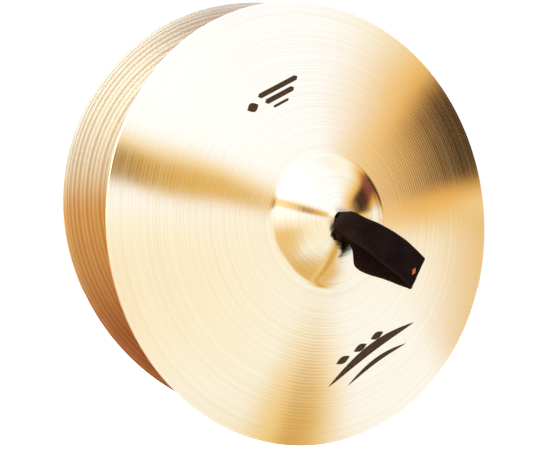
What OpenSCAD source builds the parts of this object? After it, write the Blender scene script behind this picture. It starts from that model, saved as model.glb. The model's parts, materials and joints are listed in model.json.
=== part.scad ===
// A pair of orchestral hand cymbals with leather straps, held bell outwards and half open.
// Origin: on the front cymbal's axis, level with the top of its bell. The front bell faces -Y
// and +Z is up. Each cymbal and its strap are drawn in the cymbal's own frame, with +Z along
// its axis out of the bell and z = 0 at the top of the bell, and then put in place.

/* [Cymbals] */
// Diameter across the rim
rim_d = 457.2; // [420:0.1:500]
// Height of the bow, from the rim up to the foot of the bell
bow_h = 26; // [22:1:30]
// Height of the bell above its foot
bell_h = 22; // [19:1:26]
// Diameter of the bell at its foot
bell_d = 132; // [124:1:144]
// Radius of the hollow curve where the bow turns up into the bell
bell_fillet = 14; // [8:1:20]
// Thickness of the bronze
bronze_t = 1.2; // [1:0.1:1.6]
// Diameter of the centre hole
hole_d = 15; // [14.5:0.5:17]

/* [Pair] */
// Angle between the two rim planes
jaw_angle = 14.4; // [8:0.1:20]
// Lean of the line that the jaw opens about, from upright towards +X
jaw_lean = 29.8; // [0:0.1:60]
// Gap between the two rims where they nearly touch
rim_gap = 2.7; // [2:0.1:6]
// How far the rear rim is set back from the front rim at that place
rim_setback = 26.5; // [0:0.5:40]
// How far the rear cymbal is shifted along the line that the jaw opens about
rear_shift = 14; // [0:0.1:25]

/* [Straps] */
// Thickness of the strap leather
leather_t = 2.6; // [2:0.1:2.8]
// Length of the hand loop, from the bend at the bell to the far crease
loop_len = 90; // [84:1:110]
// Width of the strap at the grip
grip_w = 43; // [38:1:46]
// Width of the strap where it bends at the bell
neck_w = 22; // [17:0.5:24]
// Width of the strap inside the centre hole
throat_w = 12.6; // [11:0.1:12.6]
// Length over which the strap widens from the bell to the grip
widen_len = 81; // [60:1:84]
// Height of the outer leg of the loop above the loop's centre line
outer_bulge = 8; // [6:0.5:12]
// Depth of the inner leg of the loop below the loop's centre line
inner_bulge = 16; // [12:0.5:17]
// Height of the bend above the top of the bell
bend_h = 6; // [6:0.1:7]
// Direction of the front loop round the cymbal's axis
front_turn = -41; // [-180:1:180]
// Direction of the rear loop round the cymbal's axis, 90 hangs straight down
rear_turn = 90; // [-180:1:180]
// Angle of the loop above the cymbal's face
loop_lift = 22; // [20:1:35]
// Twist of the loop about its length
loop_twist = -13; // [-15:1:0]

/* [Knots] */
// Width of each of the four thongs
thong_w = 7; // [6:0.1:7]
// Thickness of each thong
thong_t = 2.5; // [2:0.1:2.6]
// Distance from the middle of the knot to the near edge of a thong
thong_gap = 2; // [1.8:0.1:2.5]
// Distance from the middle of the knot to the fold of a thong
fold_v = 10; // [9.5:0.1:11]
// Length of each straight tail
tail_len = 24; // [15:1:26]
// Angle that a tail turns down from the knot
tail_angle = 32; // [25:1:36]

/* [Hidden] */
$fn = 128;

bronze = [0.86, 0.70, 0.40];
dark_leather = [0.10, 0.075, 0.065];

// Cymbal section: both the bow and the bell are parts of spheres centred on the axis
rim_r = rim_d / 2;
bell_r = bell_d / 2;
cymbal_h = bow_h + bell_h;
bell_sphere_r = (bell_r * bell_r + bell_h * bell_h) / (2 * bell_h);
bell_centre = [0, cymbal_h - bell_sphere_r];
bow_centre = [0, axis_centre([rim_r, bronze_t], [bell_r, bow_h])];
bow_sphere_r = norm([bell_r, bow_h] - bow_centre);
fillet_z = ((bow_sphere_r + bell_fillet) ^ 2 - (bell_sphere_r + bell_fillet) ^ 2
    + bell_centre.y ^ 2 - bow_centre.y ^ 2) / (2 * (bell_centre.y - bow_centre.y));
fillet_centre = [sqrt((bow_sphere_r + bell_fillet) ^ 2 - (fillet_z - bow_centre.y) ^ 2), fillet_z];
section_fn = 256;
below_rim = 1;

// Strap loop: two arcs that meet in round ends, one leather thickness in radius
end_r = leather_t;
outer_leg_r = arc_radius(loop_len, outer_bulge - end_r);
inner_leg_r = arc_radius(loop_len, inner_bulge - end_r);
widen_steps = 12;

// Knot: it hangs just under the inside of the bell
knot_clearance = 0.35;
lay_gap = 0.3;
knot_corner = norm([fold_v + thong_t + lay_gap, thong_gap + thong_w]);
knot_top = -bronze_t - knot_clearance
    - (bell_sphere_r - bronze_t - sqrt((bell_sphere_r - bronze_t) ^ 2 - knot_corner ^ 2));
throat_top = 0.6;
tail_bend_r = 14;
tail_tip_w = 4;
tail_steps = 7;

function arc_radius(chord, rise) = (chord * chord / 4 + rise * rise) / (2 * rise);
// Height, on the axis, of the centre of the circle through two points
function axis_centre(a, b) = (a * a - b * b) / (2 * (a.y - b.y));
// Point at distance d from a on the way to b
function toward(a, b, d) = a + (b - a) * d / norm(b - a);
// Smooth step from 0 to 1
function ease(u) = u <= 0 ? 0 : u >= 1 ? 1 : u * u * (3 - 2 * u);
// One edge of a thong's tail, out along the bend in the order of steps: a radius outside the bend,
// and the last step is the tip
function tail_edge(top, outside, steps) = [
    for (i = steps)
        let (
            a = tail_angle * min(i, tail_steps - 1) / (tail_steps - 1),
            out = (tail_bend_r + outside) * [-sin(a), cos(a)],
            tip = i == tail_steps ? -tail_len * [cos(a), sin(a)] : [0, 0]
        )
        [-fold_v, top - thong_t - tail_bend_r] + out + tip
];
function strap_half_w(s) = (neck_w + (grip_w - neck_w) * ease(s / widen_len)) / 2;

// Everything under the outer surface, drawn in by inset
module under_surface(inset) {
    intersection() {
        translate(bow_centre) circle(r = bow_sphere_r - inset, $fn = section_fn);
        translate([0, -below_rim]) square([rim_r, cymbal_h + below_rim]);
    }
    intersection() {
        translate(bell_centre) circle(r = bell_sphere_r - inset, $fn = section_fn);
        translate([0, bow_h / 2]) square([bell_r, cymbal_h]);
    }
    difference() {
        polygon([
            toward(fillet_centre, bow_centre, bell_fillet + inset),
            fillet_centre,
            toward(fillet_centre, bell_centre, bell_fillet + inset),
            [bell_r, bow_h / 2]
        ]);
        translate(fillet_centre) circle(r = bell_fillet + inset);
    }
}

module cymbal() {
    color(bronze)
    translate([0, 0, -cymbal_h])
    rotate_extrude($fn = 256)
    difference() {
        under_surface(0);
        under_surface(bronze_t);
        translate([0, -below_rim]) square([hole_d / 2, cymbal_h * 2]);
    }
}

// Side view of the loop: length along x, outwards along y
module loop_side(inset) {
    intersection() {
        translate([loop_len / 2, outer_bulge - outer_leg_r]) circle(r = outer_leg_r - inset, $fn = section_fn);
        translate([loop_len / 2, inner_leg_r - inner_bulge]) circle(r = inner_leg_r - inset, $fn = section_fn);
        translate([0, -inner_bulge]) square([loop_len, inner_bulge + outer_bulge]);
    }
}

// Face view of the strap: length along x, width along y
module loop_face() {
    side = [for (i = [0 : widen_steps]) let (s = widen_len * i / widen_steps) [s, strap_half_w(s)]];
    ends = [[loop_len + end_r, grip_w / 2], [loop_len + end_r, -grip_w / 2]];
    back = [for (i = [widen_steps : -1 : 0]) [side[i].x, -side[i].y]];
    polygon(concat([[-end_r, neck_w / 2]], side, ends, back, [[-end_r, -neck_w / 2]]));
}

module strap_loop(turn) {
    color(dark_leather)
    rotate([0, 0, turn])
    translate([0, 0, bend_h])
    rotate([0, -loop_lift, 0])
    rotate([loop_twist, 0, 0])
    intersection() {
        rotate([90, 0, 0])
        linear_extrude(height = grip_w, center = true)
        difference() {
            union() {
                loop_side(0);
                for (s = [0, loop_len]) translate([s, 0]) circle(r = end_r);
            }
            loop_side(leather_t);
        }
        linear_extrude(height = 4 * outer_bulge, center = true) loop_face();
    }
}

// Both ends of the strap, back to back through the centre hole
module strap_throat(turn) {
    color(dark_leather)
    rotate([0, 0, turn])
    translate([-leather_t, -throat_w / 2, knot_top])
    cube([2 * leather_t, throat_w, throat_top - knot_top]);
}

// Side view of one thong: distance from the middle along x, height along y.
// It runs out under the bell, folds, comes back, steps over its neighbour and ends in a tail.
module thong_side() {
    fold_r = thong_t + lay_gap / 2;
    second = -2 * (thong_t + lay_gap);
    difference() {
        union() {
            translate([fold_v, -fold_r]) circle(r = fold_r);
            translate([thong_gap, -2 * fold_r]) square([fold_v - thong_gap, 2 * fold_r]);
        }
        translate([fold_v, -fold_r]) circle(r = lay_gap / 2, $fn = 24);
        translate([0, -fold_r - lay_gap / 2]) square([fold_v, lay_gap]);
    }
    polygon(concat(
        [[fold_v, -fold_r - lay_gap / 2], [thong_gap, -fold_r - lay_gap / 2], [-thong_gap, second]],
        tail_edge(second, thong_t, [0 : tail_steps]),
        tail_edge(second, 0, [tail_steps : -1 : 0]),
        [[-thong_gap, second - thong_t], [thong_gap, -2 * fold_r], [fold_v, -2 * fold_r]]
    ));
}

module thong_face() {
    tip = -fold_v - tail_bend_r - tail_len;
    side = (thong_w - tail_tip_w) / 2;
    translate([0, thong_gap])
    polygon([
        [2 * fold_v, 0], [2 * fold_v, thong_w], [-2 * fold_v, thong_w],
        [tip, thong_w - side], [tip, side], [-2 * fold_v, 0]
    ]);
}

module thong(turn, number) {
    color(dark_leather)
    translate([0, 0, knot_top])
    rotate([0, 0, turn + 90 * number])
    intersection() {
        translate([0, 2 * thong_w, 0])
        rotate([90, 0, 0])
        linear_extrude(height = 2 * thong_w) thong_side();
        linear_extrude(height = 4 * tail_len, center = true) thong_face();
    }
}

// The front cymbal's axis points along -Y
module front_place() {
    rotate([90, 0, 0]) children();
}

// The rear cymbal faces the front one, and leans open about the jaw's line
module rear_place() {
    across = [cos(jaw_lean), 0, -sin(jaw_lean)];
    along = [sin(jaw_lean), 0, cos(jaw_lean)];
    near_rim = (rim_r - rim_setback) * across + [0, cymbal_h + rim_gap, 0];
    translate(near_rim + rear_shift * along)
    rotate(a = -jaw_angle, v = along)
    translate(-rim_r * across)
    rotate([-90, 0, 0])
    translate([0, 0, cymbal_h])
    children();
}

module front_cymbal() front_place() cymbal();
module front_strap_loop() front_place() strap_loop(front_turn);
module front_strap_throat() front_place() strap_throat(front_turn);
module front_thong(number) front_place() thong(front_turn, number);
module rear_cymbal() rear_place() cymbal();
module rear_strap_loop() rear_place() strap_loop(rear_turn);
module rear_strap_throat() rear_place() strap_throat(rear_turn);
module rear_thong(number) rear_place() thong(rear_turn, number);

front_cymbal();
front_strap_loop();
front_strap_throat();
front_thong(1);  // front_thong_1
front_thong(2);  // front_thong_2
front_thong(3);  // front_thong_3
front_thong(4);  // front_thong_4
rear_cymbal();
rear_strap_loop();
rear_strap_throat();
rear_thong(1);  // rear_thong_1
rear_thong(2);  // rear_thong_2
rear_thong(3);  // rear_thong_3
rear_thong(4);  // rear_thong_4
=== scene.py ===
import json
import math
import random

import bmesh
import bpy
import numpy as np
from mathutils import Matrix, Vector, noise


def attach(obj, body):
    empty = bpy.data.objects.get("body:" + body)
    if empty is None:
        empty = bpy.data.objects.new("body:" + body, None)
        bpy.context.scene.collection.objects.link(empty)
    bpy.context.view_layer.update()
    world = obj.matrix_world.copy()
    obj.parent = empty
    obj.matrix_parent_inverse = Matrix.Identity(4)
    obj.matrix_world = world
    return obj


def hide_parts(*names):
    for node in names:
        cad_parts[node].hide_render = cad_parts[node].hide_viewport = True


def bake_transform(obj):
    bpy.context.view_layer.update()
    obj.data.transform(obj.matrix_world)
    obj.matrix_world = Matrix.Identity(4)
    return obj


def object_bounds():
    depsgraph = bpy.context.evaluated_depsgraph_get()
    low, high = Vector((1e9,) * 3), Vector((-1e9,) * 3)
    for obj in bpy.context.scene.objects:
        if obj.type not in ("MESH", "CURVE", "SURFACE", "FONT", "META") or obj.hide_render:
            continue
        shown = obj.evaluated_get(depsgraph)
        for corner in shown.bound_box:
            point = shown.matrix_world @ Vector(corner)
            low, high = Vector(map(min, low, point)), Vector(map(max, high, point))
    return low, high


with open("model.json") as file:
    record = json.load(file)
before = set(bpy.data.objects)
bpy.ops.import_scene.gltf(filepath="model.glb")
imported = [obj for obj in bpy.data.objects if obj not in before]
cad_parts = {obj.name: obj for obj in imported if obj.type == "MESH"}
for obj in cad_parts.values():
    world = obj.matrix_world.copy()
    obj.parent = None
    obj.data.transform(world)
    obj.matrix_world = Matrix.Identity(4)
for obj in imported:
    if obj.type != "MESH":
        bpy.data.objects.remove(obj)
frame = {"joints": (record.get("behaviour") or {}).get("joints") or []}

cad_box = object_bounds()

MM = 0.001
SIDES = ("front", "rear")
joints = {j["name"]: j for j in frame["joints"]}

# ------------------------------------------------------------ sizes, in mm, as the CAD has them
RIM_R = 228.6
CYMBAL_H = 48.0
BOW_H = 26.0
BELL_R = 66.0
BRONZE_T = 1.2
HOLE_R = 7.5
FILLET = 14.0

LEATHER_T = 2.6
LOOP_LEN = 90.0
GRIP_W, NECK_W, THROAT_W, WIDEN = 43.0, 22.0, 12.6, 81.0
OUTER_RISE, INNER_RISE = 8.0, 16.0
BEND_H = 6.0
LIFT, TWIST = math.radians(22), math.radians(-13)

THONG_W, THONG_T, THONG_GAP, LAY_GAP = 7.0, 2.5, 2.0, 0.3
FOLD_V = 10.0
TAIL_LEN, TAIL_ANGLE, TAIL_R, TAIL_TIP_W = 24.0, math.radians(32), 14.0, 4.0
KNOT_CLEARANCE = 0.35

# section of the cymbal: bow and bell are parts of spheres, with a hollow fillet between them
BOW_C = (RIM_R ** 2 + BRONZE_T ** 2 - BELL_R ** 2 - BOW_H ** 2) / (2 * (BRONZE_T - BOW_H))
BOW_SR = math.hypot(BELL_R, BOW_H - BOW_C)
BELL_SR = (BELL_R ** 2 + (CYMBAL_H - BOW_H) ** 2) / (2 * (CYMBAL_H - BOW_H))
BELL_C = CYMBAL_H - BELL_SR
FIL_Z = ((BOW_SR + FILLET) ** 2 - (BELL_SR + FILLET) ** 2 + BELL_C ** 2 - BOW_C ** 2) / (
    2 * (BELL_C - BOW_C))
FIL_R = math.sqrt((BOW_SR + FILLET) ** 2 - (FIL_Z - BOW_C) ** 2)
FIL_IN = FIL_R * BELL_SR / (BELL_SR + FILLET)
FIL_OUT = FIL_R * BOW_SR / (BOW_SR + FILLET)

# the knot hangs just under the inside of the bell
KNOT_CORNER = math.hypot(FOLD_V + THONG_T + LAY_GAP, THONG_GAP + THONG_W)
UNDER_BELL_SR = BELL_SR - BRONZE_T
KNOT_TOP = -BRONZE_T - KNOT_CLEARANCE - (
    UNDER_BELL_SR - math.sqrt(UNDER_BELL_SR ** 2 - KNOT_CORNER ** 2))


def ease(u):
    """Smooth step from 0 to 1."""
    u = min(1.0, max(0.0, u))
    return u * u * (3 - 2 * u)


def lerp(a, b, t):
    return a + (b - a) * t


def strap_frame(side):
    """Columns: the way the strap lies, across it, and out of the bell. Origin: top of the bell."""
    turn, fold = joints[side + "_strap_turn"], joints[side + "_strap_fold"]
    z = Vector(turn["axis"]).normalized()
    v = -Vector(fold["axis"])
    v = (v - z * v.dot(z)).normalized()
    m = Matrix((v.cross(z), v, z)).transposed().to_4x4()
    m.translation = Vector(turn["pos_m"])
    return m


# ------------------------------------------------------------ node helpers
class Nodes:
    def __init__(self, tree):
        self.n = tree.nodes
        self.l = tree.links

    def add(self, kind, **settings):
        node = self.n.new(kind)
        for k, v in settings.items():
            setattr(node, k, v)
        return node

    def put(self, socket, value):
        if isinstance(value, bpy.types.NodeSocket):
            self.l.new(value, socket)
        elif value is not None:
            socket.default_value = value

    def math(self, op, a, b=None, c=None, clamp=False):
        node = self.add("ShaderNodeMath", operation=op, use_clamp=clamp)
        for i, v in enumerate((a, b, c)):
            self.put(node.inputs[i], v)
        return node.outputs[0]

    def plus(self, a, b):
        return self.math("ADD", a, b)

    def minus(self, a, b):
        return self.math("SUBTRACT", a, b)

    def times(self, a, b, clamp=False):
        return self.math("MULTIPLY", a, b, clamp=clamp)

    def step(self, value, low, high, out_low=0.0, out_high=1.0):
        node = self.add("ShaderNodeMapRange", interpolation_type="SMOOTHSTEP")
        for i, v in enumerate((value, low, high, out_low, out_high)):
            self.put(node.inputs[i], v)
        return node.outputs[0]

    def mix(self, fac, a, b, blend="MIX"):
        node = self.add("ShaderNodeMix", data_type="RGBA", blend_type=blend)
        self.put(node.inputs[0], fac)
        for i, v in ((6, a), (7, b)):
            self.put(node.inputs[i], (*v, 1.0) if isinstance(v, tuple) and len(v) == 3 else v)
        return node.outputs[2]

    def tinted(self, fac, colour, tint):
        """The colour, multiplied by a tint where fac is 1."""
        return self.mix(fac, colour, self.mix(1.0, colour, tint, blend="MULTIPLY"))

    def noise(self, vector, scale, detail=2.0, rough=0.5):
        node = self.add("ShaderNodeTexNoise")
        self.put(node.inputs["Vector"], vector)
        node.inputs["Scale"].default_value = scale
        node.inputs["Detail"].default_value = detail
        node.inputs["Roughness"].default_value = rough
        return node.outputs["Fac"]

    def combine(self, x, y, z):
        node = self.add("ShaderNodeCombineXYZ")
        for i, v in enumerate((x, y, z)):
            self.put(node.inputs[i], v)
        return node.outputs[0]

    def split(self, vector):
        node = self.add("ShaderNodeSeparateXYZ")
        self.put(node.inputs[0], vector)
        return node.outputs[0], node.outputs[1], node.outputs[2]

    def attribute(self, name, output="Fac"):
        return self.add("ShaderNodeAttribute", attribute_name=name).outputs[output]

    def own_place(self):
        return self.add("ShaderNodeTexCoord").outputs["Object"]

    def bump(self, height, distance, strength):
        node = self.add("ShaderNodeBump")
        node.inputs["Strength"].default_value = strength
        node.inputs["Distance"].default_value = distance
        self.put(node.inputs["Height"], height)
        return node.outputs[0]


# ------------------------------------------------------------ materials
def material(name):
    m = bpy.data.materials.new(name)
    m.use_nodes = True
    return m, Nodes(m.node_tree), m.node_tree.nodes["Principled BSDF"].inputs


# colours of bronze: darker rings, lighter rings, and clouds of tarnish
RAW_TONES = ((0.91, 0.79, 0.56), (0.96, 0.86, 0.64), (0.88, 0.74, 0.49))
FRONT_TONES = ((0.88, 0.72, 0.45), (0.93, 0.78, 0.52), (0.86, 0.68, 0.40))
REAR_TONES = ((0.88, 0.71, 0.44), (0.93, 0.77, 0.50), (0.85, 0.66, 0.38))
TRACK_COLOUR = (0.62, 0.38, 0.17)
# painted shade: tints that warm, then redden, the lower side of a cymbal's inside, like light
# bounced between the cymbals
WARM_PAINTED_SHADE, RED_PAINTED_SHADE = (0.91, 0.68, 0.38), (0.80, 0.62, 0.80)
OUTER_ROUGH, INNER_ROUGH = (0.14, 0.18), (0.38, 0.46)
RUBBED_ROUGH = 0.26


def bronze_material(name, seed, tones, inside=False, painted_lower_shade=False):
    """Bronze turned on a lathe, brushed round the axis. Lengths here are in metres."""
    m, t, p = material(name)
    place = t.attribute("blank", "Vector")
    x, y, _ = t.split(place)
    r = t.math("SQRT", t.plus(t.times(x, x), t.times(y, y)))
    # turning marks: rings of noise that depend on the radius only, and wander a little
    ring_r = t.math("MULTIPLY_ADD", t.noise(place, scale=9.0, detail=1.0), 0.0012, r)
    rings = t.noise(t.combine(ring_r, seed, 0.0), scale=900.0, detail=3.0, rough=0.6)
    wide = t.noise(t.combine(ring_r, seed + 3.0, 0.0), scale=150.0)
    fine = t.noise(t.combine(ring_r, seed + 7.0, 0.0), scale=1500.0, rough=0.6)
    cloud = t.noise(place, scale=14.0, detail=3.0, rough=0.55)
    base = t.mix(t.step(rings, 0.36, 0.66), tones[0], tones[1])
    base = t.mix(t.times(t.step(wide, 0.35, 0.7), 0.35), base, tones[2])
    base = t.mix(t.times(t.step(cloud, 0.4, 0.75), 0.12), base, tones[2])
    # the bottoms of the turned tracks stay darker, more so inside, where they are deep and
    # nobody polishes
    base = t.mix(t.times(t.attribute("cut"), 0.62 if inside else 0.1), base, TRACK_COLOUR)
    if painted_lower_shade:    # painted shade: warmer, then redder, towards the lower side, standing in for the dim warm light bounced between the cymbals
        low = t.math("MULTIPLY_ADD", t.noise(place, scale=9.0), 0.03, t.minus(x, 0.015))
        base = t.tinted(t.step(low, -0.035, 0.015), base, WARM_PAINTED_SHADE)
        base = t.tinted(t.step(low, 0.06, 0.14), base, RED_PAINTED_SHADE)
    t.put(p["Base Color"], base)
    p["Metallic"].default_value = 1.0
    rough = t.step(wide, 0.3, 0.7, *(INNER_ROUGH if inside else OUTER_ROUGH))
    rough = t.plus(rough, t.times(t.minus(cloud, 0.5), 0.03))
    if not inside:    # the strap rubs the bell dull around the hole
        near_hole = t.math("MULTIPLY_ADD", cloud, 0.006, r)
        rough = t.plus(rough, t.step(near_hole, 0.022, 0.012, 0.0, RUBBED_ROUGH))
    t.put(p["Roughness"], rough)
    p["Anisotropic"].default_value = 0.94
    p["Anisotropic Rotation"].default_value = 0.25
    turned = t.add("ShaderNodeVectorTransform", vector_type="VECTOR",
                   convert_from="OBJECT", convert_to="WORLD")
    t.put(turned.inputs[0], t.attribute("way", "Vector"))
    t.put(p["Tangent"], turned.outputs[0])
    height = t.plus(t.times(rings, 0.6), t.times(fine, 0.4))
    t.put(p["Normal"], t.bump(height, distance=0.00004, strength=0.5))
    return m


# colours of leather, each from dark to light
GRAIN_COLOURS = ((0.0030, 0.0011, 0.0009), (0.0056, 0.0025, 0.0017))
FLESH_COLOURS = ((0.0040, 0.0013, 0.0010), (0.0096, 0.0034, 0.0023))
EDGE_COLOURS = ((0.0034, 0.0015, 0.0010), (0.0085, 0.0040, 0.0022))
PORE_COLOUR = (0.0016, 0.0008, 0.0006)
WORN_COLOUR = (0.015, 0.008, 0.004)


def leather_material(name):
    """Dark strap leather: grain side with pores, rougher flesh side, fibrous edges, worn places."""
    m, t, p = material(name)
    place = t.own_place()
    edge, flesh, wear = t.attribute("edge"), t.attribute("flesh"), t.attribute("wear")
    broad = t.noise(place, scale=60.0, detail=3.0, rough=0.6)
    mottled = t.noise(place, scale=380.0, detail=4.0, rough=0.65)
    fibre = t.noise(place, scale=1400.0, detail=3.0, rough=0.7)
    pores = t.add("ShaderNodeTexVoronoi", feature="DISTANCE_TO_EDGE")
    t.put(pores.inputs["Vector"], place)
    pores.inputs["Scale"].default_value = 900.0
    cells = t.step(pores.outputs["Distance"], 0.0, 0.22)
    grain_col = t.mix(t.step(broad, 0.35, 0.7), *GRAIN_COLOURS)
    grain_col = t.mix(t.times(t.minus(1.0, cells), 0.5), grain_col, PORE_COLOUR)
    flesh_col = t.mix(t.step(mottled, 0.35, 0.68), *FLESH_COLOURS)
    edge_col = t.mix(t.step(fibre, 0.3, 0.7), *EDGE_COLOURS)
    col = t.mix(flesh, grain_col, flesh_col)
    worn = t.times(wear, t.step(mottled, 0.42, 0.62), clamp=True)
    col = t.mix(t.times(worn, 0.4), col, WORN_COLOUR)
    col = t.mix(t.times(edge, t.step(broad, 0.3, 0.6, 0.45, 1.0)), col, edge_col)
    t.put(p["Base Color"], col)
    coarse = t.math("MAXIMUM", flesh, edge)
    t.put(p["Roughness"], t.plus(t.step(mottled, 0.3, 0.7, 0.38, 0.52), t.times(coarse, 0.3)))
    p["Specular IOR Level"].default_value = 0.025
    p["Specular Tint"].default_value = (1.0, 0.66, 0.46, 1.0)
    p["Sheen Weight"].default_value = 0.003
    p["Sheen Roughness"].default_value = 0.5
    p["Sheen Tint"].default_value = (0.7, 0.6, 0.4, 1.0)
    height = t.plus(t.times(cells, 0.55), t.times(mottled, 0.9))
    height = t.plus(height, t.times(t.times(fibre, coarse), 0.8))
    t.put(p["Normal"], t.bump(height, distance=0.00018, strength=0.6))
    return m


def ink_material(name, dark, light):
    m, t, p = material(name)
    speck = t.noise(t.own_place(), scale=700.0, detail=3.0, rough=0.6)
    t.put(p["Base Color"], t.mix(t.step(speck, 0.45, 0.75), dark, light))
    t.put(p["Roughness"], t.step(speck, 0.3, 0.7, 0.42, 0.6))
    p["Specular IOR Level"].default_value = 0.06
    p["Specular Tint"].default_value = (1.0, 0.75, 0.5, 1.0)
    t.put(p["Normal"], t.bump(speck, distance=0.00003, strength=0.4))
    return m


# ------------------------------------------------------------ meshes
def new_object(name, verts, faces, mats, smooth=True, attributes=None, matrix=None):
    """An object whose mesh is moved by the matrix, so the object itself stays at the origin."""
    me = bpy.data.meshes.new(name)
    me.from_pydata([tuple(v) for v in verts], [], faces)
    me.validate()
    me.update()
    for key, values in (attributes or {}).items():
        values = np.asarray(values, np.float32)
        if values.ndim == 2:
            data = me.attributes.new(key, "FLOAT_VECTOR", "POINT").data
            data.foreach_set("vector", values.ravel())
        else:
            me.attributes.new(key, "FLOAT", "POINT").data.foreach_set("value", values)
    if smooth:
        me.shade_smooth()
    for m in mats:
        me.materials.append(m)
    o = bpy.data.objects.new(name, me)
    bpy.context.scene.collection.objects.link(o)
    if matrix is not None:
        me.transform(matrix)
    return o


def face_outwards(o):
    """Makes every face point out of its closed mesh."""
    bm = bmesh.new()
    bm.from_mesh(o.data)
    bmesh.ops.recalc_face_normals(bm, faces=bm.faces)
    bm.to_mesh(o.data)
    bm.free()


def strip_faces(rows, columns, start=0):
    """Quads of a grid of points that lie in rows."""
    corners = [start + i * columns + j for i in range(rows - 1) for j in range(columns - 1)]
    return [(q, q + columns, q + columns + 1, q + 1) for q in corners]


def section(r):
    """Height of the outer surface at radius r, 0 at the top of the bell, and its normal (r, z)."""
    if r < FIL_IN:
        z = BELL_C + math.sqrt(BELL_SR ** 2 - r * r)
        n = (r / BELL_SR, (z - BELL_C) / BELL_SR)
    elif r < FIL_OUT:
        z = FIL_Z - math.sqrt(FILLET ** 2 - (r - FIL_R) ** 2)
        n = ((FIL_R - r) / FILLET, (FIL_Z - z) / FILLET)
    else:
        z = BOW_C + math.sqrt(BOW_SR ** 2 - r * r)
        n = (r / BOW_SR, (z - BOW_C) / BOW_SR)
    return z - CYMBAL_H, n


# the lathe's tracks: from radius, to radius, pitch, depth, and how much the pitch varies
OUTER_TRACKS = (
    (HOLE_R + 0.25, 22.0, 3.6, 0.004, 0.08),
    (22.0, FIL_IN - 1, 3.9, 0.03, 0.08),
    (FIL_IN - 1, FIL_OUT + 2, 3.4, 0.025, 0.1),
    (FIL_OUT + 2, RIM_R - 3.0, 3.3, 0.040, 0.07),
    (RIM_R - 3.0, RIM_R - 0.25, 2.75, 0.01, 0.0),
)
INNER_TRACKS = (
    (HOLE_R + 0.25, FIL_IN - 1, 4.2, 0.06, 0.15),
    (FIL_IN - 1, FIL_OUT + 2, 3.6, 0.04, 0.1),
    (FIL_OUT + 2, RIM_R - 4.0, 4.4, 0.13, 0.06),
    (RIM_R - 4.0, RIM_R - 0.3, 3.7, 0.02, 0.0),
)
# the depths of track that count as fully cut, for the colour of the tracks
OUTER_CUT, INNER_CUT = 0.06, 0.13
SHORTEST_TRACK = 0.3      # a shorter rest of a span, in pitches, joins the last track
SEGMENTS = 192
# very shallow, broad waves in the bow, which is hammered and never a perfect surface
WAVES, WAVE_H = 6, 0.16


def tracks(rng, spans):
    """Points of the section: [(radius, how far the surface is cut below the ridge tops)]."""
    out = []
    for lo, hi, pitch, depth, vary in spans:
        r = lo
        while r < hi - SHORTEST_TRACK * pitch:
            w = min(hi - r, pitch * rng.uniform(1 - vary, 1 + vary))
            if hi - r - w < SHORTEST_TRACK * pitch:
                w = hi - r
            d = depth * rng.uniform(0.8, 1.2)
            deepest = rng.uniform(0.38, 0.62)
            for x, k in ((0.0, 0.0), (0.16, 0.6), (deepest, 1.0), (0.84, 0.6)):
                out.append((r + w * x, d * k))
            r += w
    out.append((spans[-1][1], 0.0))
    return out


def cymbal_profile(rng):
    """The closed section: [(r, z)], the cut of each point, and the range of inner points."""
    outer, inner = tracks(rng, OUTER_TRACKS), tracks(rng, INNER_TRACKS)
    rings, cuts = [], []
    for r, cut in outer:
        z, n = section(r)
        rings.append((r - cut * n[0], z - cut * n[1]))
        cuts.append(cut / OUTER_CUT)
    first_inner = len(rings) + 2
    z, _ = section(RIM_R)
    rings += [(RIM_R - 0.07, z - 0.1), (RIM_R, z - 0.3), (RIM_R, -CYMBAL_H + 0.3),
              (RIM_R - 0.07, -CYMBAL_H + 0.1), (RIM_R - 0.3, -CYMBAL_H + 0.01)]
    back, back_cuts = [], []
    for r, cut in inner:
        z, n = section(r)
        q = (r - (BRONZE_T - cut) * n[0], z - (BRONZE_T - cut) * n[1])
        if q[0] > HOLE_R + 0.2:
            back.append(q)
            back_cuts.append(cut / INNER_CUT)
    rings += back[::-1]
    last_inner = len(rings)
    low, high = back[0][1], rings[0][1]
    rings += [(HOLE_R + 0.05, low + 0.08), (HOLE_R, low + 0.25),
              (HOLE_R, high - 0.25), (HOLE_R + 0.05, high - 0.08)]
    cuts += [0.0] * 5 + back_cuts[::-1] + [0.0] * 4
    return rings, cuts, first_inner, last_inner


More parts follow.
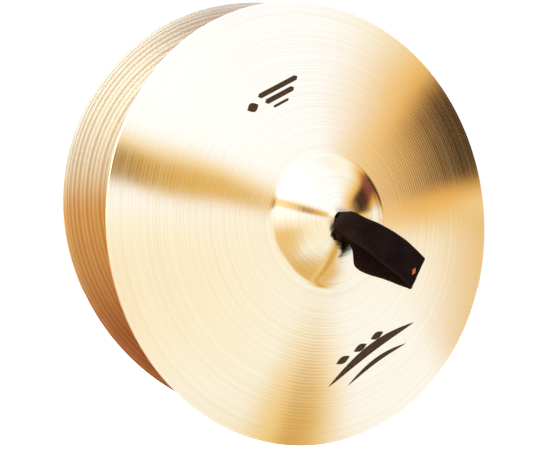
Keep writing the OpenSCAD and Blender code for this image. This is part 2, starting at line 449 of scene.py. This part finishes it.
def cymbal_object(name, matrix, mats, seed):
    rng = random.Random(seed)
    rings, cuts, first_inner, last_inner = cymbal_profile(rng)
    phase = [rng.uniform(0, 6.28) for _ in range(WAVES)]
    a = np.linspace(0, 2 * math.pi, SEGMENTS, endpoint=False)
    r, z = np.array([q[0] for q in rings]), np.array([q[1] for q in rings])
    waves = sum(np.cos((k + 2) * a[None, :] + phase[k] + r[:, None] * (0.02 + 0.007 * k))
                for k in range(WAVES)) / WAVES
    on_bow = np.clip((r - 70) / 60, 0, 1) * np.clip((RIM_R - r) / 25, 0, 1)
    n = len(rings)
    co = np.zeros((n, SEGMENTS, 3))
    co[..., 0] = r[:, None] * np.cos(a)
    co[..., 1] = r[:, None] * np.sin(a)
    co[..., 2] = z[:, None] + WAVE_H * on_bow[:, None] * waves
    here = np.arange(n * SEGMENTS).reshape(n, SEGMENTS)
    beside = np.roll(here, -1, axis=1)
    faces = np.stack([here, np.roll(here, -1, axis=0), np.roll(beside, -1, axis=0), beside],
                     axis=-1).reshape(-1, 4)
    # where a point is on the turned blank, and the way the lathe's tool went past it
    blank = co.reshape(-1, 3) * MM
    way = np.stack([-np.sin(a), np.cos(a), np.zeros(SEGMENTS)], axis=-1)
    way = way @ np.array(matrix.to_3x3()).T
    o = new_object(name, blank, [tuple(int(i) for i in f) for f in faces], mats, matrix=matrix,
                   attributes={"cut": np.repeat(cuts, SEGMENTS), "blank": blank,
                               "way": np.tile(way, (n, 1))})
    ring_of = np.repeat(np.arange(n), SEGMENTS)
    is_inner = (ring_of >= first_inner) & (ring_of < last_inner)
    o.data.polygons.foreach_set("material_index", is_inner.astype(np.int32))
    face_outwards(o)
    return o


ROUND_OUT = 0.55      # how far the rounded edge of the leather stands out, in half thicknesses


def ribbon(stations, thickness, across, round_steps):
    """A strip of leather with rounded edges, as vertices in mm, faces and attributes.

    stations: dicts with p (centre), w (unit vector across), n (unit normal, the grain side),
    half (half width), cup (rise of the middle over the edges), wear, warp (moves a point), and
    optionally t (another thickness)."""
    profile = [("top", -1 + 2 * i / across) for i in range(across + 1)]
    bends = [math.pi / 2 - math.pi * i / (round_steps + 1) for i in range(1, round_steps + 1)]
    profile += [("right", k) for k in bends]
    profile += [("bottom", 1 - 2 * i / across) for i in range(across + 1)]
    profile += [("left", k) for k in bends]
    verts, edge, flesh, wear = [], [], [], []
    for s in stations:
        half = s["half"]
        t = s.get("t", thickness) / 2
        flat = half - ROUND_OUT * t
        for kind, k in profile:
            if kind in ("top", "bottom"):
                x = flat * k
                out = t if kind == "top" else -t
                edge.append(1.0 if abs(k) > 0.97 else 0.0)
                flesh.append(0.0 if kind == "top" else 1.0)
            else:
                sign = 1 if kind == "right" else -1
                x = sign * (flat + ROUND_OUT * t * abs(math.cos(k)))
                out = sign * t * math.sin(k)
                edge.append(1.0)
                flesh.append(0.5)
            rise = s["cup"] * (1 - (x / max(half, 0.1)) ** 2)
            verts.append(s["warp"](s["p"] + s["w"] * x + s["n"] * (out + rise), x, out))
            wear.append(s["wear"] + (0.35 if abs(x) > half - 1.6 else 0.0))
    ring, rows = len(profile), len(stations)
    faces = []
    for i in range(rows - 1):
        for j in range(ring):
            a, b = i * ring + j, i * ring + (j + 1) % ring
            faces.append((a, b, b + ring, a + ring))
    faces.append(tuple(range(ring))[::-1])
    faces.append(tuple((rows - 1) * ring + j for j in range(ring)))
    return verts, faces, {"edge": edge, "flesh": flesh, "wear": wear}


def leather_object(name, stations, thickness, across, round_steps, mat, place):
    verts, faces, attributes = ribbon(stations, thickness, across, round_steps)
    o = new_object(name, [v * MM for v in verts], faces, [mat], attributes=attributes,
                   matrix=place)
    face_outwards(o)
    return o


# ------------------------------------------------------------ the hand strap
# The strap is first drawn from the side, in its own plane: x the way it lies, z out of the bell,
# and s the distance along the loop from the bell.
BEND_ANGLE = math.pi / 2 - LIFT
NECK_BEND_R = 4.6                                        # bend above the hole
LEG_LEN = LOOP_LEN - 3.2                                 # of each leg, up to the crease
LEG_START = NECK_BEND_R * (1 - math.cos(BEND_ANGLE)) / math.cos(LIFT) + 1.2
LEG_END = LEG_LEN - 1.0
LEG_STEPS = 46
STRAP_BOTTOM = KNOT_TOP - 0.6
NECK_Z = (BEND_H + math.tan(LIFT) * NECK_BEND_R * (1 - math.cos(BEND_ANGLE))
          - NECK_BEND_R * math.sin(BEND_ANGLE))
NECK_POINTS, BEND_POINTS, SMOOTHINGS = 6, 8, 5
CREASE_POINTS, CREASE_REACH = 9, 1.15
ALONG = Vector((math.cos(LIFT), 0, math.sin(LIFT)))      # the way the loop points
OUTER_ARCH, ARCH_END, INNER_SAG = 1.2, 60, 3.0           # how far the legs leave even arcs
OUTER_SWELL, INNER_SWELL = (3.4, 2.2), (0.6, 0.0)        # back and down, just above the hole
NECK_TURN = math.radians(-15)
NECK_CUP = 2.6
DROOP, SKEW = 3.4, 0.10


def leg_radius(rise):
    return (LOOP_LEN ** 2 / 4 + (rise - LEATHER_T) ** 2) / (2 * (rise - LEATHER_T))


def leg_height(s, layer):
    """Height of the leather's middle over the loop's centre line."""
    x = LOOP_LEN / LEG_LEN * s - LOOP_LEN / 2
    if layer == "out":
        r = leg_radius(OUTER_RISE)
        h = OUTER_RISE - r + math.sqrt((r - LEATHER_T / 2) ** 2 - x ** 2)
        return h + OUTER_ARCH * math.sin(math.pi * min(1, max(0, s / ARCH_END))) ** 2
    # the inner leg sags nearer to the bell than the middle
    r = leg_radius(INNER_RISE)
    h = r - INNER_RISE - math.sqrt((r - LEATHER_T / 2) ** 2 - x ** 2)
    return h - INNER_SAG * math.sin(math.pi * min(1, max(0, s / LEG_LEN)) ** 0.8) ** 2


def side_view(s, h):
    """x and z of a point at distance s along the loop and height h over its centre line."""
    return (s * math.cos(LIFT) - h * math.sin(LIFT),
            BEND_H + s * math.sin(LIFT) + h * math.cos(LIFT))


def layer_path(layer):
    """One layer of the strap from under the bell to the crease: [(x, z, s)]."""
    off = LEATHER_T / 2 if layer == "out" else -LEATHER_T / 2
    line = [(-off, lerp(STRAP_BOTTOM, NECK_Z, k / (NECK_POINTS - 1))) for k in range(NECK_POINTS)]
    for k in range(1, BEND_POINTS + 1):
        b = BEND_ANGLE * k / (BEND_POINTS + 1)
        line.append((NECK_BEND_R - (NECK_BEND_R + off) * math.cos(b),
                     NECK_Z + (NECK_BEND_R + off) * math.sin(b)))
    neck = len(line)
    runs = [lerp(LEG_START, LEG_END, k / LEG_STEPS) for k in range(LEG_STEPS + 1)]
    line += [side_view(s, leg_height(s, layer)) for s in runs]
    for k in range(neck - 1, -1, -1):
        runs.insert(0, runs[0] - math.dist(line[k], line[k + 1]))
    # above the hole the leather springs apart: the outer layer swells back over the hole's rim
    back, sunk = OUTER_SWELL if layer == "out" else INNER_SWELL
    out = []
    for x, z in line:
        swell = ease((z + 0.6) / 3.0) * (1 - ease((x - 1.0) / 11.0))
        out.append((x - back * swell, z - sunk * ease((z - 2.0) / 4.0) * swell))
    for _ in range(SMOOTHINGS):
        eased = [tuple((out[k - 1][c] + 2 * out[k][c] + out[k + 1][c]) / 4 for c in (0, 1))
                 for k in range(4, neck + 5)]
        out = out[:4] + eased + out[neck + 5:]
    return [(x, z, s) for (x, z), s in zip(out, runs)]


def lower_reach(s, layer):
    """How much further than its even outline the leather reaches on its lower side."""
    less = 3.5 * ease((s - 42) / 32)
    if layer == "in":
        return 9.0 * (1 - ease((s - 10) / 36)) + 5.5 * math.exp(-((s - 42) / 13) ** 2) - less
    return 4.5 * (1 - ease((s - 8) / 44)) - less


def strap_station(x, z, angle, s, layer, fold):
    """One section of the strap. angle: direction of travel in the side view."""
    rot = Matrix.Rotation(TWIST * ease((s - 6) / 42), 3, ALONG)
    origin = Vector((0, 0, BEND_H))
    free = ease((z - 0.1) / 3.8)
    # just above the hole the leather lies a little turned
    theta = NECK_TURN * free * (1 - ease((s - 1) / 16))
    across = Vector((math.sin(theta), math.cos(theta), 0))
    normal = Vector((-math.sin(angle), 0, math.cos(angle)))
    normal = (normal - across * normal.dot(across)).normalized()
    even = (NECK_W + (GRIP_W - NECK_W) * ease((s + 3) / (WIDEN - 12))) / 2
    high = lerp(THROAT_W / 2, even - 6.0 * (1 - ease((s + 3) / 12)), free)
    low = lerp(THROAT_W / 2, even + lower_reach(s, layer), free)
    w = rot @ across
    pinch = ease((s + 6) / 8) * (1 - ease((s - 4) / 34))
    return {
        "p": origin + rot @ (Vector((x, 0, z)) - origin) + w * ((high - low) / 2),
        "w": w, "n": rot @ normal, "half": (high + low) / 2, "off": (high - low) / 2,
        "cup": NECK_CUP * pinch * (-1 if layer == "in" else 1), "s": s, "layer": layer,
        "wear": 0.5 * fold + 0.25 * pinch,
    }


def strap_layer(layer):
    path = layer_path(layer)
    if layer == "in":
        path.reverse()
    stations = []
    for k, (x, z, s) in enumerate(path):
        before, after = path[max(0, k - 1)], path[min(len(path) - 1, k + 1)]
        angle = math.atan2(after[1] - before[1], after[0] - before[0])
        stations.append(strap_station(x, z, angle, s, layer, ease((s - 70) / 20)))
    return stations


def strap_crease():
    """The sharp fold where the outer layer turns back into the inner one."""
    h_out, h_in = leg_height(LEG_END, "out"), leg_height(LEG_END, "in")
    middle, r = (h_out + h_in) / 2, (h_out - h_in) / 2
    ahead = 0.05
    slope = math.atan2(leg_height(LEG_END + ahead, "out") - h_out, ahead)
    stations = []
    for k in range(1, CREASE_POINTS + 1):
        a = lerp(math.pi / 2 + slope, -math.pi / 2 - slope, k / (CREASE_POINTS + 1))
        s = LEG_END + CREASE_REACH * r * math.cos(a)
        x, z = side_view(s, middle + r * math.sin(a))
        stations.append(strap_station(x, z, a - math.pi / 2 + LIFT, s, "fold", 1.0))
    return stations


def strap_warp(st, seed):
    """Moves points of a station: unevenness, droop and stretch of used leather."""
    def warp(q, x, _out):
        s = st["s"]
        broad = noise.noise(Vector((q.x * 0.11 + seed, q.y * 0.11, q.z * 0.11)))
        small = noise.noise(Vector((q.x * 0.35, q.y * 0.35 + seed, q.z * 0.35)))
        q = q + st["n"] * (0.35 * broad * ease((s + 4) / 20) + 0.12 * small * ease((s + 2) / 8))
        if st["layer"] == "in":    # the lower border of the inner leg droops on to the bell
            droop = DROOP * ease((s - 1) / 12) * (1 - ease((s - 30) / 22))
            q.z -= droop * max(0.0, -x / st["half"]) ** 1.5
        # the crease runs a little askew, and the hand has stretched the leather there
        return q + ALONG * (SKEW * ease((s - 25) / 65) * (GRIP_W / 2 - x - st["off"]))
    return warp


STAMP_AT, STAMP_REACH, STAMP_SIDE, STAMP_HALF_W = 82.8, 2.0, -1.2, 5.0
STAMP_ROWS, STAMP_COLUMNS, STAMP_RISE = 9, 5, 0.1


def stamp_object(name, stations, mat, place):
    """A small plain diamond next to the crease, where such straps carry a mark."""
    near = [st for st in stations if st["layer"] == "out" and st["s"] > STAMP_AT - 12]
    points = []
    for row in range(STAMP_ROWS):
        s = STAMP_AT + STAMP_REACH * (2 * row / (STAMP_ROWS - 1) - 1)
        half = STAMP_HALF_W * max(0.03, 1 - abs(s - STAMP_AT) / STAMP_REACH)
        i = max(j for j in range(len(near) - 1) if near[j]["s"] <= s)
        for c in range(STAMP_COLUMNS):
            ends = []
            for st in near[i:i + 2]:
                x = STAMP_SIDE + half * (2 * c / (STAMP_COLUMNS - 1) - 1) - st["off"]
                rise = LEATHER_T / 2 + STAMP_RISE + st["cup"] * (1 - (x / st["half"]) ** 2)
                ends.append(st["warp"](st["p"] + st["w"] * x + st["n"] * rise, x, 0.0))
            u = (s - near[i]["s"]) / (near[i + 1]["s"] - near[i]["s"])
            points.append(ends[0].lerp(ends[1], u) * MM)
    return new_object(name, points, strip_faces(STAMP_ROWS, STAMP_COLUMNS), [mat], matrix=place)


def strap_objects(side, mat, stamp_mat, seed):
    """Hand strap: up through the hole, along the outer leg, creased, back along the inner leg."""
    place = strap_frame(side)
    stations = strap_layer("out") + strap_crease() + strap_layer("in")
    for st in stations:
        st["warp"] = strap_warp(st, seed)
    name = f"{side}_strap"
    strap = leather_object(name, stations, LEATHER_T, 14, 4, mat, place)
    return strap, stamp_object(name + "_stamp", stations, stamp_mat, place)


# ------------------------------------------------------------ the knot
def thong_path(curl):
    """A thong's middle line: [(x, z, direction of travel)]. curl: how far the tail's tip lifts."""
    t = THONG_T
    fold_r = t + LAY_GAP / 2
    below, second = -2 * fold_r + t / 2, -2 * (t + LAY_GAP) - t / 2
    path = [(lerp(-1.0, FOLD_V, k / 5), -t / 2, 0.0) for k in range(6)]
    for k in range(1, 10):
        a = math.pi / 2 - math.pi * k / 10
        path.append((FOLD_V + (fold_r - t / 2) * math.cos(a),
                     -fold_r + (fold_r - t / 2) * math.sin(a), a - math.pi / 2))
    # back under itself, and down over its neighbour
    inner = THONG_GAP + 1
    path += [(lerp(FOLD_V, inner, k / 4), below, -math.pi) for k in range(5)]
    for k in range(1, 8):
        u = k / 8
        slope = (second - below) * 6 * u * (1 - u) / (2 * inner)
        path.append((lerp(inner, -inner, u), lerp(below, second, ease(u)),
                     -math.pi - math.atan(slope)))
    path += [(lerp(-inner, -FOLD_V, k / 3), second, -math.pi) for k in range(4)]
    # the tail bends down, and then runs straight to its tip
    bend_z, bend_r = second - t / 2 - TAIL_R, TAIL_R + t / 2
    for k in range(1, 8):
        a = TAIL_ANGLE * k / 7
        path.append((-FOLD_V - bend_r * math.sin(a), bend_z + bend_r * math.cos(a),
                     -math.pi + a))
    x0, z0, _ = path[-1]
    for k in range(1, 15):
        d, lift = TAIL_LEN * k / 14, curl * (k / 14) ** 2
        path.append((x0 - d * math.cos(TAIL_ANGLE) + lift * math.sin(TAIL_ANGLE),
                     z0 - d * math.sin(TAIL_ANGLE) + lift * math.cos(TAIL_ANGLE),
                     -math.pi + TAIL_ANGLE))
    return path


def thong_warp(st, seed):
    def warp(q, x, out):
        uneven = noise.noise(Vector((q.x * 0.3 + seed, q.y * 0.3, q.z * 0.3)))
        rounded = 0.16 * (abs(x) / st["half"]) ** 2 if out > 0 else 0.0
        return q + st["n"] * (0.13 * uneven - rounded)
    return warp


def thong_object(side, number, mat, seed):
    """One of the four thongs that each strap's ends are slit into, woven under the bell."""
    path = thong_path(random.Random(seed).uniform(-0.9, 0.9))
    turn = Matrix.Rotation(math.radians(90 * number), 3, "Z")
    tail_x, tip_x = -2 * FOLD_V, -FOLD_V - TAIL_R - TAIL_LEN
    stations = []
    for i, (x, z, angle) in enumerate(path):
        width = THONG_W
        if x < tail_x:
            width = lerp(THONG_W, TAIL_TIP_W, (x - tail_x) / (tip_x - tail_x))
        thinned = {0: 0.45, 1: 0.75}.get(len(path) - 1 - i, 1.0)
        st = {
            "p": turn @ Vector((x, THONG_GAP + THONG_W / 2, z + KNOT_TOP)),
            "w": turn @ Vector((0, 1, 0)),
            "n": turn @ Vector((-math.sin(angle), 0, math.cos(angle))),
            "half": width / 2 - 0.05, "t": THONG_T * thinned, "cup": 0.0,
            "wear": 0.25 if 5 < i < 15 else 0.08,
        }
        st["warp"] = thong_warp(st, seed)
        stations.append(st)
    return leather_object(f"{side}_woven_thong_{number}", stations, THONG_T, 6, 3, mat,
                          strap_frame(side))


# ------------------------------------------------------------ plain printed ornaments
PRINT_STEP, PRINT_RISE = 1.2, 0.09
ACROSS_STROKE = (-1, -0.5, 0, 0.5, 1)


def print_mark(name, mat, centre, angle, strokes, matrix):
    """Ornament printed on the bow. strokes: lists of (along, across, half width) in mm."""
    ca, sa = math.cos(angle), math.sin(angle)
    verts, faces = [], []
    for stroke in strokes:
        pts = []
        for p0, p1 in zip(stroke, stroke[1:]):
            n = max(1, int(math.dist(p0[:2], p1[:2]) / PRINT_STEP))
            pts += [tuple(lerp(u, v, k / n) for u, v in zip(p0, p1)) for k in range(n)]
        pts.append(stroke[-1])
        faces += strip_faces(len(pts), len(ACROSS_STROKE), len(verts))
        for i, (a, b, half) in enumerate(pts):
            q0, q1 = pts[max(0, i - 1)], pts[min(len(pts) - 1, i + 1)]
            d = Vector((q1[0] - q0[0], q1[1] - q0[1])).normalized()
            for k in ACROSS_STROKE:
                u, v = a - d.y * half * k, b + d.x * half * k
                x, y = centre[0] + u * ca - v * sa, centre[1] + u * sa + v * ca
                z, _ = section(math.hypot(x, y))
                verts.append(Vector((x, y, z + PRINT_RISE)) * MM)
    return new_object(name, verts, faces, [mat], matrix=matrix)


def lens(a0, a1, b, half, n=14):
    return [(lerp(a0, a1, i / n), b, max(0.05, half * math.sin(math.pi * i / n)))
            for i in range(n + 1)]


def bar(a0, a1, b, half):
    return [(a0, b, half * 0.15), (a0 + half, b, half), (a1 - half, b, half), (a1, b, half * 0.15)]


def swash(a0, a1, b0, b1, rise, half, n=26):
    out = []
    for u in (i / n for i in range(n + 1)):
        arch = math.sin(math.pi * u)
        out.append((lerp(a0, a1, u), lerp(b0, b1, u) + rise * arch, max(0.08, half * arch ** 0.8)))
    return out


MARKS = (
    ("upper_print", (-60.0, 122.5), math.radians(29), [
        bar(-16, 36, 6.5, 2.6), bar(-12, 26, -1.5, 2.6), bar(-6, 14, -9.0, 1.3),
        lens(-34, -20, 0, 4.6)]),
    ("lower_print", (61.0, -137.0), math.radians(25), [
        swash(-62, 62, -6, 6, 7, 4.6), swash(-40, 44, -16, -10, 5, 2.6),
        lens(-46, -28, 12, 3.6), lens(-22, -4, 14, 3.6), lens(2, 20, 16, 3.6)]),
)

# ------------------------------------------------------------ the object
raw = {
    "front": bronze_material("front_raw_bronze", 5.0, RAW_TONES, inside=True),
    # the rear cymbal's inside gets painted warm, reddish shade towards its lower side
    "rear": bronze_material("rear_raw_bronze", 6.0, RAW_TONES, inside=True, painted_lower_shade=True),
}
bronze = {
    "front": bronze_material("front_bronze", 0.0, FRONT_TONES),
    "rear": bronze_material("rear_bronze", 11.0, REAR_TONES),
}
leather = leather_material("strap_leather")
ink = ink_material("printed_ink", (0.024, 0.011, 0.0045), (0.045, 0.022, 0.009))
stamp_ink = ink_material("stamp_ink", (0.20, 0.040, 0.016), (0.27, 0.06, 0.026))

# each cymbal's own frame: z along its axis out of the bell, 0 at the top of the bell
own = {
    "front": Matrix(((1, 0, 0, 0), (0, 0, -1, 0), (0, 1, 0, 0), (0, 0, 0, 1))),
    "rear": strap_frame("rear"),
}
for k, side in enumerate(SIDES):
    body = f"{side}_cymbal"
    c = cymbal_object(f"{side}_lathed_cymbal", own[side], [bronze[side], raw[side]], 40 + k)
    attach(c, body)
    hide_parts(body)

    s, stamp = strap_objects(side, leather, stamp_ink, 3.7 + 5 * k)
    place = strap_frame(side)
    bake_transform(s)
    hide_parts(f"{side}_strap_loop", f"{side}_strap_throat")
    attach(stamp, f"{side}_hand_loop")
    for i in range(1, 5):
        q = thong_object(side, i, leather, 17 * k + i)
        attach(q, f"{side}_knot")
        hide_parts(f"{side}_thong_{i}")

for name, centre, angle, strokes in MARKS:
    o = print_mark(name, ink, centre, angle, strokes, own["front"])
    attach(o, "front_cymbal")

# ------------------------------------------------------------ floor
FLOOR_DROP, FLOOR_HALF = 0.35, 40.0
scene = bpy.context.scene
floor_mat, t, p = material("pale_floor")
grain = t.noise(t.own_place(), scale=1.3)
t.put(p["Base Color"], t.mix(grain, (0.93, 0.93, 0.93), (0.96, 0.96, 0.96)))
p["Roughness"].default_value = 0.9
p["Specular IOR Level"].default_value = 0.1
p["Emission Color"].default_value = (1.0, 1.0, 1.0, 1.0)
p["Emission Strength"].default_value = 0.3
corners = [(x * FLOOR_HALF, y * FLOOR_HALF, cad_box[0].z - FLOOR_DROP)
           for x, y in ((-1, -1), (1, -1), (1, 1), (-1, 1))]
floor = new_object("floor", corners, [(0, 1, 2, 3)], [floor_mat], smooth=False)
floor.visible_glossy = False

# ------------------------------------------------------------ the studio that the bronze mirrors
# Azimuth az runs from the front (-Y) towards +X and elevation el upwards, both in degrees.
world = bpy.data.worlds.new("studio")
scene.world = world
world.use_nodes = True
w = Nodes(world.node_tree)
x, y, z = w.split(w.add("ShaderNodeTexCoord").outputs["Generated"])
az = w.times(w.math("ARCTAN2", x, w.times(y, -1.0)), 180 / math.pi)
el = w.times(w.math("ARCSINE", z), 180 / math.pi)


def card(place, tilt=0.0, half=None, above=None):
    """One piece of the studio: 1 inside, 0 outside, with soft edges.

    place: az and el of the centre, half sizes and softness in az and el. tilt: its slope in el
    per az. half: a socket for half the size in el. above: cut off softly below an elevation."""
    az0, el0, half_az, half_el, soft_az, soft_el = place
    if half is None:
        half, edge = half_el, half_el + soft_el
    else:
        edge = w.plus(half, soft_el)
    from_az = w.minus(az, az0)
    from_el = w.minus(el, w.math("MULTIPLY_ADD", from_az, tilt, el0))
    beside = w.step(w.math("ABSOLUTE", from_az), half_az + soft_az, half_az)
    out = w.times(beside, w.step(w.math("ABSOLUTE", from_el), edge, half))
    if above:
        out = w.times(out, w.step(from_el, *above))
    return out


# softboxes and reflectors in front, then what stands behind the pair
IN_FRONT = (
    ((48, -24, 12, 12, 10, 10), (1.12, 1.30, 1.78)),
    ((-8, -9, 22, 7, 16, 10), (1.12, 1.18, 1.29)),
    ((-34, -24, 14, 10, 16, 16), (0.94, 0.74, 0.40)),
    ((4, -62, 44, 16, 30, 18), (0.84, 0.60, 0.24)),
)
BEHIND = (
    ((-160, 12, 10, 5, 14, 8), (0.62, 0.38, 0.14)),
    ((128, 14, 16, 6, 14, 8), (0.30, 0.14, 0.07)),
    ((166, -44, 6, 16, 8, 10), (0.78, 0.54, 0.19)),
    ((-110, -18, 14, 8, 20, 12), (0.80, 0.58, 0.24)),
)
# the wall at the right, with its dark doorway: place, tilt, above and colour
WALL = (
    ((40, 8, 3.5, 4, 4, 6), 0.0, None, (1.02, 0.86, 0.56)),
    ((71, -5, 6, 8, 10, 7), 0.0, None, (0.90, 0.64, 0.25)),
    ((78, 18, 22, 9, 27, 15), 0.22, (-12.5, -8.0), (1.0, 0.80, 0.40)),
    ((78, 17, 22, 6, 24, 11), 0.22, (-9.0, -6.0), (0.95, 0.56, 0.12)),
    ((80, 17.8, 18, 5.0, 15, 7.0), 0.24, (-6.2, -2.8), (0.34, 0.095, 0.085)),
    ((68, 15.3, 9, 4.6, 11, 6.3), 0.24, (-6.0, -3.0), (0.030, 0.009, 0.007)),
    ((70, 16.0, 7, 4.6, 6, 4.5), 0.0, None, (0.001, 0.0005, 0.0003)),
)

col = w.mix(card((0, 42, 34, 24, 26, 26)), (1.11, 1.27, 1.60), (1.14, 1.37, 2.06))
for place, colour in IN_FRONT:
    col = w.mix(card(place), col, colour)
# the left side, which only the insides of the cymbals see: brighter with height
behind_left = w.step(az, -140.0, -115.0)
tall = w.mix(w.step(el, -3.0, 6.0), (2.8, 1.25, 0.32), (5.6, 3.6, 1.6))
tall = w.mix(w.step(el, 10.0, 40.0), tall, (13.5, 16.0, 16.6))
tall = w.mix(w.step(el, -10.0, -34.0), tall, (0.85, 0.36, 0.18))
col = w.mix(w.times(w.step(az, -46.0, -64.0), behind_left), col, tall)
# the highest lamp, which lights the mouth of the pair from the upper left
high = w.times(w.times(w.step(az, -14.0, -36.0), behind_left), w.step(el, 34.0, 52.0))
col = w.mix(high, col, (10.6, 12.4, 13.2))
for place, tilt, above, colour in WALL:
    col = w.mix(card(place, tilt, above=above), col, colour)
# the gap between the lamps at the left: it narrows to the right, and is darkest in its middle
gap = w.step(az, -5.0, 24.0, 1.9, 0.3)
col = w.mix(card((-22, 17.8, 44, 0, 6, 4.0), -0.25, half=gap), col, (1.02, 0.86, 0.48))
darkest = w.times(w.step(az, 3.0, -6.0), w.step(az, -15.5, -10.5))
gap_col = w.mix(w.step(az, -11.0, -17.0), (0.84, 0.55, 0.11), (1.04, 0.90, 0.56))
gap_col = w.mix(darkest, gap_col, (0.16, 0.05, 0.002))
col = w.mix(card((-22, 16.4, 44, 0, 6, 2.3), -0.25, half=gap), col, gap_col)
# the stand below: it widens downwards, with a softer left side
leg = w.step(el, -12.0, -32.0, 0.2, 3.2)
aside = w.minus(az, 32.0)
to_right = w.times(aside, 0.6)
soft_off = w.math("MAXIMUM", to_right, w.times(aside, -0.62))
stand = w.times(w.step(soft_off, w.plus(leg, 5.0), leg), w.step(el, -9.0, -22.0))
col = w.mix(stand, col, (1.0, 0.82, 0.44))
off = w.math("MAXIMUM", to_right, w.times(aside, -1.0))
core = w.times(w.step(off, w.plus(leg, 1.5), w.times(leg, 0.4)), w.step(el, -14.0, -28.0))
col = w.mix(core, col, (0.72, 0.45, 0.10))
for place, colour in BEHIND:
    col = w.mix(card(place), col, colour)

background = world.node_tree.nodes["Background"]
w.put(background.inputs["Color"], col)
background.inputs["Strength"].default_value = 1.0
# behind the object stands a plain white backdrop
plain = w.add("ShaderNodeBackground")
plain.inputs["Color"].default_value = (1.0, 1.0, 1.0, 1.0)
plain.inputs["Strength"].default_value = 1.05
both = w.add("ShaderNodeMixShader")
w.put(both.inputs[0], w.add("ShaderNodeLightPath").outputs["Is Camera Ray"])
w.put(both.inputs[1], background.outputs[0])
w.put(both.inputs[2], plain.outputs[0])
w.put(world.node_tree.nodes["World Output"].inputs["Surface"], both.outputs[0])

scene.view_settings.view_transform = "Standard"
scene.view_settings.look = "None"

# ------------------------------------------------------------ camera, at the photograph's angle
cam = bpy.data.cameras.new("camera")
cam.lens = 67.5
cam.sensor_width = 36.0
cam.sensor_fit = "HORIZONTAL"
cam.clip_end = 200
eye = bpy.data.objects.new("camera", cam)
scene.collection.objects.link(eye)
eye.location = (-0.5696, -0.8518, -0.0578)
eye.rotation_mode = "QUATERNION"
eye.rotation_quaternion = Vector((0.501, 0.864, 0.0512)).to_track_quat("-Z", "Y")
scene.camera = eye
